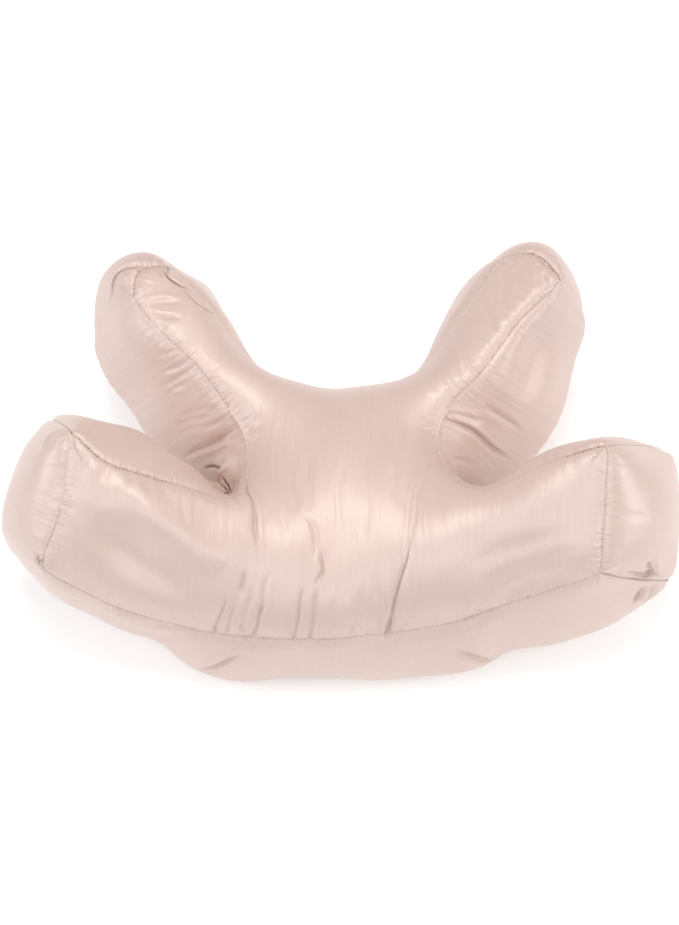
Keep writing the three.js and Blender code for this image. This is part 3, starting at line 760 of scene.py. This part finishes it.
def fold_depth(points, normals, panels):
    """Depth that the folds press into the skin: across each, the trough falls off as a bell curve and a
    lower bell beside it is its ridge."""
    depth = np.zeros(len(points))
    for fold in ALL_FOLDS:
        deepest, ridge = fold[3:5]
        reached, left, strength = fold_reach(points, normals, panels, fold, FOLD_SKIN_GAP)
        beside = np.exp(-(left * np.sign(ridge) - RIDGE_PLACE) ** 2)
        depth[reached] += strength * deepest * (np.exp(-left ** 2) - abs(ridge) * beside)
    return depth

def crease_lines(points, normals, panels):
    """For the folds that close to a sharp line, which the satin draws as a bump and as painted shade: each
    point's distance from the nearest line, plus on its left, and how strong that line is, which fades out a
    few millimetres away."""
    nearest = np.full(len(points), CREASE_REACH)
    signed = np.full(len(points), CREASE_REACH)
    strength = np.zeros(len(points))
    for fold in ALL_FOLDS:
        half_width, dark = fold[2], fold[5]
        if not dark:
            continue
        reached, left, here = fold_reach(points, normals, panels, fold, CREASE_SKIN_GAP)
        gap = np.abs(left) * half_width
        closer = gap < nearest[reached]
        chosen = reached[closer]
        nearest[chosen] = gap[closer]
        signed[chosen] = left[closer] * half_width
        fading = np.clip(2 - 2 * gap[closer] / CREASE_REACH, 0.0, 1.0)
        strength[chosen] = dark * here[closer] * fading
    return signed, strength

def lump_height(points):
    """Height of the lumps in the stuffing: the average of a few slow sine waves, each with its own
    direction, length and start."""
    waves = [np.sin(points @ np.array(way) * 2 * np.pi / length + start) for way, length, start in LUMP_WAVES]
    return LUMP_HEIGHT * sum(waves) / np.sqrt(len(waves))

def seam_strength(shell):
    """How plainly the seam shows at each point of the skin that is sewn, and zero elsewhere."""
    outline, rings = shell["outline"], shell["rings"]
    along = outline["along"]
    shown = np.zeros(len(shell["points"]))
    for corner, share in zip(outline["corners"], CORNER_SEAMS):
        shown[rings[:, corner]] = share
    shown[rings[[0, -1]]] = PLAIN_SEAM
    for run, stretches in SEAM_LINES.items():
        begin = 0.0
        for end, share in stretches:
            here = (outline["run"] == run) & (along >= begin) & (along <= end)
            shown[rings[0][here]] = share
            begin = end
    shown[rings[-1][outline["run"] == "front"]] = LOW_FRONT_SEAM
    return shown

def weave_map(shell):
    """Where the cloth lies in its own weave, in millimetres, for each face corner: plan position on the
    top and bottom panels, length along the wall and down it on the walls."""
    points, outline = shell["points"], shell["outline"]
    arc, top = outline["arc"], outline["top"]
    total = arc[-1] + np.linalg.norm(top[0] - top[-1])
    tall = np.linalg.norm(top - outline["low"], axis=1).mean()
    rows = len(shell["rings"]) - 1
    first = np.tile(np.arange(len(arc)), rows)
    place = np.append(arc, total)
    along = np.stack([place[first], place[first], place[first + 1], place[first + 1]], 1)
    row = np.repeat(np.arange(rows), len(arc))
    down = np.stack([row, row + 1, row + 1, row], 1) * tall / rows
    wall = np.stack([along, down], 2).reshape(-1, 2)
    flat = [points[shell[name].ravel(), :2] for name in ("top_triangles", "low_triangles")]
    return np.vstack([flat[0], wall, flat[1]])

def keep_values(mesh, **named):
    """Keeps named values of each point on a mesh."""
    for name, values in named.items():
        mesh.attributes.new(name, "FLOAT", "POINT").data.foreach_set("value", values)

def skin_mesh(shell, points):
    """The skin as a mesh: its triangles paired to quads, its weave map, creased edges on its seams, and what
    each point keeps until the skin is finished."""
    mesh = bpy.data.meshes.new("pillow_skin")
    parts = [shell[name].tolist() for name in ("top_triangles", "quads", "low_triangles")]
    mesh.from_pydata((points * MM).tolist(), [], sum(parts, []))
    mesh.uv_layers.new(name="weave").data.foreach_set("uv", weave_map(shell).ravel())
    skin = bmesh.new()
    skin.from_mesh(mesh)
    loose = [face for face in skin.faces if len(face.verts) == 3]
    bmesh.ops.join_triangles(skin, faces=loose, angle_face_threshold=JOIN_ANGLE,
                             angle_shape_threshold=JOIN_ANGLE)
    skin.to_mesh(mesh)
    skin.free()
    ends = np.empty(len(mesh.edges) * 2, int)
    mesh.edges.foreach_get("vertices", ends)
    sewn = shell["seam"][ends.reshape(-1, 2)].all(1)
    mesh.attributes.new("crease_edge", "FLOAT", "EDGE").data.foreach_set("value", sewn * SEAM_EDGE_CREASE)
    side = shell["side"]
    keep_values(
        mesh,
        top=(side == 0) * 1.0,
        wall=(side == 1) * 1.0,
        sewn=shell["seam"] * 1.0,
        low_seam=np.isin(np.arange(len(points)), shell["rings"][-1]) * 1.0,
        place=shell["outline"]["arc"][shell["column"]],
        shown=seam_strength(shell),
    )
    return mesh

def cut_cloth(points):
    """The skin as it was cut: across the middle each point is moved out by a share of a soft step in x, and
    along the rear arms by a share of its distance past their roots."""
    cut = points.copy()
    cut[:, 0] += CUT_WIDER * CUT_WIDER_REACH * np.tanh(points[:, 0] / CUT_WIDER_REACH)
    cut[:, 1] += CUT_LONGER * np.maximum(points[:, 1] - CUT_LONGER_FROM, 0.0)
    return cut

def settle(piece, shell, points):
    """Lets the cloth settle over the stuffing: it rests at the size it was cut to, it is blown out gently,
    and the seams and the flat belly stay where they are."""
    held = np.full(len(points), SETTLE_HOLD)
    held[shell["seam"] | (points[:, 2] < ON_FLOOR)] = 1.0
    hold = piece.vertex_groups.new(name="hold")
    for level in np.unique(held):
        hold.add(np.flatnonzero(held == level).tolist(), float(level), "REPLACE")
    piece.shape_key_add(name="stuffed")
    cut = piece.shape_key_add(name="cut")
    cut.data.foreach_set("co", (cut_cloth(points) * MM).ravel())
    cloth = piece.modifiers.new("settle", "CLOTH")
    cloth.settings.rest_shape_key = cut
    for name, value in CLOTH_RULES.items():
        setattr(cloth.settings, name, value)
    cloth.settings.effector_weights.gravity = 0.0
    cloth.point_cache.frame_start = 1
    cloth.point_cache.frame_end = SETTLE_FRAMES
    scene = bpy.context.scene
    for frame_number in range(1, SETTLE_FRAMES + 1):
        scene.frame_set(frame_number)
    seen = piece.evaluated_get(bpy.context.evaluated_depsgraph_get())
    moved = mesh_points(seen.data) - points
    piece.modifiers.remove(cloth)
    piece.shape_key_clear()
    piece.vertex_groups.clear()
    scene.frame_set(1)
    far = np.linalg.norm(moved, axis=1, keepdims=True) + SMALL
    settled = points + moved * SETTLE_LIMIT * np.tanh(far / SETTLE_LIMIT) / far
    settled[:, 2] = np.maximum(settled[:, 2], 0.0)
    return settled

def refined(piece):
    """The piece's mesh after one smooth subdivision, as a mesh of its own."""
    finer = piece.modifiers.new("finer", "SUBSURF")
    finer.levels = 1
    finer.render_levels = 1
    seen = piece.evaluated_get(bpy.context.evaluated_depsgraph_get())
    mesh = bpy.data.meshes.new_from_object(seen)
    piece.modifiers.remove(finer)
    return mesh

def mesh_points(mesh):
    """A mesh's points in millimetres."""
    places = np.empty(len(mesh.vertices) * 3)
    mesh.vertices.foreach_get("co", places)
    return places.reshape(-1, 3) / MM

def move_points(mesh, points):
    """Sets a mesh's points from millimetres."""
    mesh.vertices.foreach_set("co", (points * MM).ravel())
    mesh.update()

def smooth_faces(mesh):
    """Shades all faces of a mesh smooth."""
    mesh.polygons.foreach_set("use_smooth", np.ones(len(mesh.polygons), bool))
    mesh.update()

def mesh_triangles(mesh):
    """A mesh's faces as triangles."""
    mesh.calc_loop_triangles()
    corners = np.empty(len(mesh.loop_triangles) * 3, int)
    mesh.loop_triangles.foreach_get("vertices", corners)
    return corners.reshape(-1, 3)

def taken_values(mesh, name):
    """A named value of each point of a mesh, which it then no longer keeps."""
    values = np.empty(len(mesh.vertices))
    mesh.attributes[name].data.foreach_get("value", values)
    mesh.attributes.remove(mesh.attributes[name])
    return values

def nearest_seam(points, sewn):
    """For each point, its distance to the nearest sewn point and that point's number."""
    on_seam = np.flatnonzero(sewn)
    seam = points[on_seam].astype(np.float32)
    gap = np.empty(len(points))
    number = np.empty(len(points), int)
    for begin in range(0, len(points), AT_ONCE):
        some = points[begin:begin + AT_ONCE].astype(np.float32)
        squares = (some ** 2).sum(1)[:, None] + (seam ** 2).sum(1)[None] - 2 * some @ seam.T
        best = squares.argmin(1)
        number[begin:begin + AT_ONCE] = on_seam[best]
        gap[begin:begin + AT_ONCE] = np.sqrt(np.maximum(squares[np.arange(len(some)), best], 0.0))
    return gap, number

def pucker_height(outline, gap, place, low_seam, on_wall):
    """Height of the puckers along the seams, from each point's distance to its seam and place along it:
    scallops, sharp at each stitch group and round between, that rise and fade with the distance."""
    height = np.zeros(len(gap))
    drift = sum(share * np.sin(place / wave + start) for share, wave, start in PUCKER_DRIFTS)
    growth = np.prod([np.sin(place / wave + start) for wave, start in PUCKER_GROWTHS], axis=0)
    strength = PUCKER_STRENGTH + (1 - PUCKER_STRENGTH) * growth
    for seam, run, along_from, along_to, pitch, reach, on_panel, tallest_wall in PUCKERS:
        begin = np.flatnonzero(outline["run"] == run)[0]
        along = (place - outline["arc"][begin]) / outline["length"][begin]
        edge = np.clip(np.minimum(along - along_from, along_to - along) / PUCKER_FADE, 0.0, 1.0)
        on_seam = (low_seam > 0.5) == (seam == "low")
        scallop = np.abs(np.sin(np.pi * (place + pitch * drift) / pitch)) - PUCKER_LEVEL
        rise = gap / reach * np.exp(1 - gap / reach)
        tallest = on_panel + (tallest_wall - on_panel) * on_wall
        height += on_seam * edge * strength * tallest * rise * scallop
    return height

def finish_skin(mesh, shell):
    """Presses the folds, the puckers and the seam grooves into the refined skin, and keeps for the satin
    each point's distance from its seam, its place along it, how plainly the seam shows there, and how far and
    how strong the nearest sharp crease is. From these the satin paints shade along the seams and creases, and
    a highlight on rolled seam edges."""
    points = mesh_points(mesh)
    triangles = mesh_triangles(mesh)
    normals = unit(point_normals(points, triangles))
    panels = {name: taken_values(mesh, name) for name in ("top", "wall")}
    gap, number = nearest_seam(points, taken_values(mesh, "sewn") > WHOLLY_SEWN)
    low_seam, place, shown = (taken_values(mesh, name)[number] for name in ("low_seam", "place", "shown"))
    near_seam = np.clip(SEAM_FOLD_SHARE + gap / SEAM_FOLD_WAY, 0.0, 1.0)
    pressed = near_seam * fold_depth(points, normals, panels)
    pressed -= pucker_height(shell["outline"], gap, place, low_seam, panels["wall"])
    pressed += shown * GROOVE_DEPTH * np.exp(-(gap / GROOVE_HALF_WIDTH) ** 2)
    pressed[points[:, 2] < ON_FLOOR_FINE] = 0.0
    points = points - pressed[:, None] * normals
    points[:, 2] = np.maximum(points[:, 2], 0.0)
    normals = unit(point_normals(points, triangles))
    off, strength = crease_lines(points, normals, panels)
    move_points(mesh, points)
    keep_values(mesh, seam_gap=gap, seam_place=place, seam_shown=shown, crease_off=off,
                crease_strength=strength)
    smooth_faces(mesh)
    return points, normals

def new_piece(name, mesh, material):
    """An object of the pillow that rides on its one body and has the given material in its slot."""
    piece = bpy.data.objects.new(name, mesh)
    bpy.context.scene.collection.objects.link(piece)
    mesh.materials.append(material)
    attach(piece, "root")
    return piece

def stitch_line(path, outwards, closed):
    """Points, sides and ends of the stitches along a seam: at each pitch a slim rod with rounded ends, lying
    along the seam."""
    if closed:
        path = np.vstack([path, path[:1]])
        outwards = np.vstack([outwards, outwards[:1]])
    length = lengths_along(path)
    count = int(length[-1] / STITCH_PITCH)
    at = (np.arange(count) + 0.5) * length[-1] / count
    forward = unit(picked(path, length, at + STITCH_HEADING) - picked(path, length, at - STITCH_HEADING))
    up = picked(outwards, length, at)
    up = unit(up - (up * forward).sum(1)[:, None] * forward)
    across = np.cross(forward, up)
    turn = (np.arange(STITCH_SIDES) * 2 * np.pi / STITCH_SIDES)[:, None, None]
    lengths, radii = (STITCH_RINGS * (STITCH_LENGTH, STITCH_RADIUS)).T[:, :, None, None, None]
    around = np.cos(turn) * across[None] + np.sin(turn) * up[None]
    lifted = picked(path, length, at) + STITCH_LIFT * STITCH_RADIUS * up
    rings = lifted[None, None] + lengths * forward[None, None] + radii * around[None]
    points = rings.transpose(2, 0, 1, 3).reshape(-1, 3)
    numbers = np.arange(len(lengths) * STITCH_SIDES).reshape(len(lengths), STITCH_SIDES)
    after = np.roll(numbers, -1, 1)
    quads = np.stack([numbers[:-1], after[:-1], after[1:], numbers[1:]], 2).reshape(-1, 4)
    ends = np.append(numbers[0, ::-1], numbers[-1])
    first = np.arange(count)[:, None, None] * numbers.size
    return points, (first + quads[None]).reshape(-1, 4), first[:, 0] + ends

def stitches(shell, points, normals):
    """All stitches of the pillow in one mesh: round the top seam, round the bottom seam and down each
    cap corner that is plainly sewn."""
    rings, corners = shell["rings"], shell["outline"]["corners"]
    sewn = [corner for corner, shown in zip(corners, CORNER_SEAMS) if shown > LEAST_STITCHED]
    lines = [(rings[0], True), (rings[-1], True)] + [(rings[:, corner], False) for corner in sewn]
    all_points, all_quads, all_ends, total = [], [], [], 0
    for line, closed in lines:
        rods, quads, ends = stitch_line(points[line], normals[line], closed)
        all_points.append(rods)
        all_quads.append(quads + total)
        all_ends.append(ends + total)
        total += len(rods)
    mesh = bpy.data.meshes.new("pillow_stitches")
    ends = np.vstack(all_ends).reshape(-1, STITCH_SIDES)
    faces = np.vstack(all_quads).tolist() + ends.tolist()
    mesh.from_pydata((np.vstack(all_points) * MM).tolist(), [], faces)
    smooth_faces(mesh)
    return mesh

def linear(colour):
    """An sRGB hex colour as linear red, green, blue and alpha."""
    parts = [int(colour[k:k + 2], 16) / 255 for k in (1, 3, 5)]
    return [p / 12.92 if p <= 0.04045 else ((p + 0.055) / 1.055) ** 2.4 for p in parts] + [1.0]

def set_values(node, **values):
    """Sets a node's properties, or its inputs by name."""
    for name, value in values.items():
        if name in node.bl_rna.properties:
            setattr(node, name, value)
        else:
            node.inputs[name.replace("_", " ")].default_value = value

def add_node(tree, kind, links=(), **values):
    """Adds a shader node and sets its values. Each link is an input and either a node and its output, or a
    number."""
    made = tree.nodes.new("ShaderNode" + kind)
    set_values(made, **values)
    for entry, *source in links:
        if len(source) == 2:
            tree.links.new(source[0].outputs[source[1]], made.inputs[entry])
        else:
            made.inputs[entry].default_value = source[0]
    return made

def satin_material():
    """Polyester satin: long smooth floats on the face give a soft broad gloss across the warp, and the warp
    shows as faint streaks. Each seam is a fine broken line of painted shade where the thread pulls the cloth
    in."""
    material = bpy.data.materials.new("blush_satin")
    material.use_nodes = True
    tree = material.node_tree
    tree.nodes.clear()
    weave = add_node(tree, "UVMap", uv_map="weave")
    speckle = {}
    for name, (across, along, detail) in SPECKLES.items():
        scaled = add_node(tree, "Mapping", [("Vector", weave, "UV")], Scale=(1 / across, 1 / along, 1.0))
        speckle[name] = add_node(tree, "TexNoise", [("Vector", scaled, "Vector")], Scale=1.0, Detail=detail)
    # What each point of the skin keeps
    gap, place, shown, crease_off, crease_strength = (
        add_node(tree, "Attribute", attribute_name=name)
        for name in ("seam_gap", "seam_place", "seam_shown", "crease_off", "crease_strength"))
    # Colour of the cloth, cloudy and streaked
    tone = add_node(tree, "MixRGB", [("Fac", speckle["cloud"], "Fac")],
                    Color1=linear("#d2b8ae"), Color2=linear("#dac2b8"))
    warp = add_node(tree, "MapRange", [("Value", speckle["streak"], "Fac")], To_Min=0.955, To_Max=1.045)
    cloth = add_node(tree, "VectorMath", [(0, tone, "Color"), ("Scale", warp, "Result")], operation="SCALE")
    # Line of painted shade along the seam, patchy along it, and the painted highlight where the seam rolls up
    near = add_node(tree, "MapRange", [("Value", gap, "Fac")], interpolation_type="SMOOTHSTEP",
                    From_Min=0.2, From_Max=1.1, To_Min=1.0, To_Max=0.0)
    broken = add_node(tree, "TexNoise", [("W", place, "Fac")], noise_dimensions="1D", Scale=0.16, Detail=2.0)
    patchy = add_node(tree, "MapRange", [("Value", broken, "Fac")],
                      From_Min=0.3, From_Max=0.7, To_Min=0.25, To_Max=0.95)
    line = add_node(tree, "Math", [(0, near, "Result"), (1, patchy, "Result")], operation="MULTIPLY")
    drawn = add_node(tree, "Math", [(0, line, "Value"), (1, shown, "Fac")],
                     operation="MULTIPLY", use_clamp=True)
    edge = add_node(tree, "Math", [(0, shown, "Fac"), (1, near, "Result")], operation="MULTIPLY")
    rolled_edge_highlight = add_node(tree, "Math", [(0, edge, "Value"), (1, ROLLED_EDGE_HIGHLIGHT)],
                      operation="MULTIPLY", use_clamp=True)
    # Line of a sharp crease, as relief and as painted shade: a bell curve of the distance from it
    square = add_node(tree, "Math", [(0, crease_off, "Fac"), (1, crease_off, "Fac")], operation="MULTIPLY")
    fallen = add_node(tree, "Math", [(0, square, "Value"), (1, -1 / CREASE_LINE ** 2)], operation="MULTIPLY")
    bell = add_node(tree, "Math", [(0, fallen, "Value")], operation="EXPONENT")
    creased = add_node(tree, "Math", [(0, bell, "Value"), (1, crease_strength, "Fac")], operation="MULTIPLY")
    shaded = add_node(tree, "Math", [(0, creased, "Value"), (1, CREASE_SHADE)],
                      operation="MULTIPLY", use_clamp=True)
    # Laid over the cloth in turn: painted shade along the sharp creases, a painted highlight on rolled seam
    # edges, and painted shade along the seams
    colour, output = cloth, "Vector"
    for share, tint in ((shaded, "#8a6455"), (rolled_edge_highlight, "#f6e9e0"), (drawn, "#8a6a5d")):
        links = [("Fac", share, "Value"), ("Color1", colour, output)]
        colour, output = add_node(tree, "MixRGB", links, Color2=linear(tint)), "Color"
    # Cloth pulled up to the seams
    pull = add_node(tree, "CombineXYZ", [("X", place, "Fac"), ("Y", gap, "Fac")])
    scaled = add_node(tree, "Mapping", [("Vector", pull, "Vector")],
                      Scale=(1 / PULL_ALONG, 1 / PULL_AWAY, 1.0))
    pulled = add_node(tree, "TexNoise", [("Vector", scaled, "Vector")], Scale=1.0, Detail=2.0)
    fading = add_node(tree, "MapRange", [("Value", gap, "Fac")], interpolation_type="SMOOTHSTEP",
                      From_Min=1.0, From_Max=PULL_AWAY, To_Min=1.0, To_Max=0.0)
    gathered = add_node(tree, "Math", [(0, pulled, "Fac"), (1, fading, "Result")], operation="MULTIPLY")
    # Relief, one bump on another: what gives the height, strength, and distance in millimetres
    raised = add_node(tree, "Bump", [("Height", creased, "Value")], invert=True,
                      Strength=1.0, Distance=0.6 * MM)
    for height, output, strength, distance in (
        (speckle["streak"], "Fac", 0.4, 0.4),
        (speckle["crinkle"], "Fac", 0.7, 1.2),
        (gathered, "Value", 0.9, 1.8),
        (speckle["grain"], "Fac", 0.15, 0.3),
    ):
        links = [("Height", height, output), ("Normal", raised, "Normal")]
        raised = add_node(tree, "Bump", links, Strength=strength, Distance=distance * MM)
    gloss = add_node(tree, "MapRange", [("Value", speckle["streak"], "Fac")], To_Min=0.4, To_Max=0.5)
    warp_way = add_node(tree, "Tangent", direction_type="UV_MAP", uv_map="weave")
    shader = add_node(
        tree, "BsdfPrincipled",
        [("Base Color", colour, "Color"), ("Roughness", gloss, "Result"), ("Normal", raised, "Normal"),
         ("Tangent", warp_way, "Tangent")],
        Metallic=0.05, IOR=1.65, Specular_IOR_Level=1.0, Anisotropic=0.5,
        Sheen_Weight=0.1, Sheen_Roughness=0.5, Sheen_Tint=linear("#fff1ea"))
    add_node(tree, "OutputMaterial", [("Surface", shader, "BSDF")])
    return material

def thread_material():
    """Spun polyester thread, a shade paler than the cloth, with a soft gloss."""
    material = bpy.data.materials.new("sewing_thread")
    material.use_nodes = True
    tree = material.node_tree
    shader = tree.nodes["Principled BSDF"]
    place = add_node(tree, "TexCoord")
    twist = add_node(tree, "TexNoise", [("Vector", place, "Object")],
                     Scale=1 / (THREAD_TWIST * MM), Detail=2.0)
    tone = add_node(tree, "MixRGB", [("Fac", twist, "Fac")],
                    Color1=linear("#d9c0b4"), Color2=linear("#e8d4c9"))
    tree.links.new(tone.outputs["Color"], shader.inputs["Base Color"])
    set_values(shader, Roughness=0.5, Sheen_Weight=0.3)
    return material

def pillow():
    """The pillow's skin and stitches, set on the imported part's box."""
    shell = sewn_shell()
    points = eased(shell, stuffed(shell))
    low, high = (np.array(corner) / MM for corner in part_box("pillow"))
    middle = (points.min(0) + points.max(0)) / 2
    shift = np.append(((low + high) / 2 - middle)[:2], 0.0)
    normals = unit(point_normals(points, shell["triangles"]))
    whole = np.clip(np.maximum(shell["dome"], 0.0) / LUMP_DOME, 0.0, 1.0)
    lumps = np.where(points[:, 2] < ON_FLOOR, 0.0, whole * lump_height(points))
    points = points + lumps[:, None] * normals
    coarse = bpy.data.objects.new("coarse_skin", skin_mesh(shell, points))
    bpy.context.scene.collection.objects.link(coarse)
    move_points(coarse.data, settle(coarse, shell, points))
    mesh = refined(coarse)
    bpy.data.objects.remove(coarse)
    mesh.name = "pillow_skin"
    fine, outwards = finish_skin(mesh, shell)
    thread = stitches(shell, fine, outwards)
    for made in (mesh, thread):
        move_points(made, mesh_points(made) + shift)
    skin = new_piece("pillow_skin", mesh, satin_material())
    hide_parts("pillow")
    new_piece("pillow_stitches", thread, thread_material())

def set_stage():
    """Pale floor, soft light and the camera at the photo's angle."""
    scene = bpy.context.scene
    scene.view_settings.view_transform = "Standard"
    world = bpy.data.worlds.new("studio")
    scene.world = world
    world.use_nodes = True
    set_values(world.node_tree.nodes["Background"], Color=(1, 1, 1, 1), Strength=0.47)
    mesh = bpy.data.meshes.new("floor")
    corners = [(x * FLOOR_SIDE, y * FLOOR_SIDE, 0) for x, y in ((-1, -1), (1, -1), (1, 1), (-1, 1))]
    mesh.from_pydata(corners, [], [(0, 1, 2, 3)])
    floor = bpy.data.objects.new("floor", mesh)
    scene.collection.objects.link(floor)
    paint = bpy.data.materials.new("pale_floor")
    paint.use_nodes = True
    set_values(paint.node_tree.nodes["Principled BSDF"], Base_Color=linear("#f7f6f5"), Roughness=0.9,
               Emission_Color=linear("#f3fbff"), Emission_Strength=0.26)
    mesh.materials.append(paint)
    for name, place, size, watts, colour in LAMPS:
        lamp = bpy.data.lights.new(name, "AREA")
        lamp.shape = "DISK"
        lamp.size = size
        lamp.energy = watts
        lamp.color = linear(colour)[:3]
        holder = bpy.data.objects.new(name, lamp)
        holder.location = place
        holder.rotation_euler = (Vector(LAMP_TARGET) - Vector(place)).to_track_quat("-Z", "Y").to_euler()
        scene.collection.objects.link(holder)
    lens = bpy.data.cameras.new("camera")
    lens.sensor_fit = "VERTICAL"
    lens.sensor_height = SENSOR
    lens.lens = FOCAL_PIXELS * SENSOR / PHOTO_HEIGHT
    camera = bpy.data.objects.new("camera", lens)
    tilt = math.radians(VIEW_ELEVATION)
    camera.location = Vector(VIEW_TARGET) + VIEW_DISTANCE * Vector((0.0, -math.cos(tilt), math.sin(tilt)))
    camera.rotation_euler = (math.radians(90.0 - VIEW_ELEVATION), 0.0, 0.0)
    scene.collection.objects.link(camera)
    scene.camera = camera

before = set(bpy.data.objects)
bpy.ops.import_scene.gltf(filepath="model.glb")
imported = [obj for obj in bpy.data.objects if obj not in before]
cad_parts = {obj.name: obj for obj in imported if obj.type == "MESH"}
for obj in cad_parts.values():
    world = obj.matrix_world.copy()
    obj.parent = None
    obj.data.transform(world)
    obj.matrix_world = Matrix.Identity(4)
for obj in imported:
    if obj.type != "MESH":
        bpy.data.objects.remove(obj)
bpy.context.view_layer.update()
set_stage()
pillow()
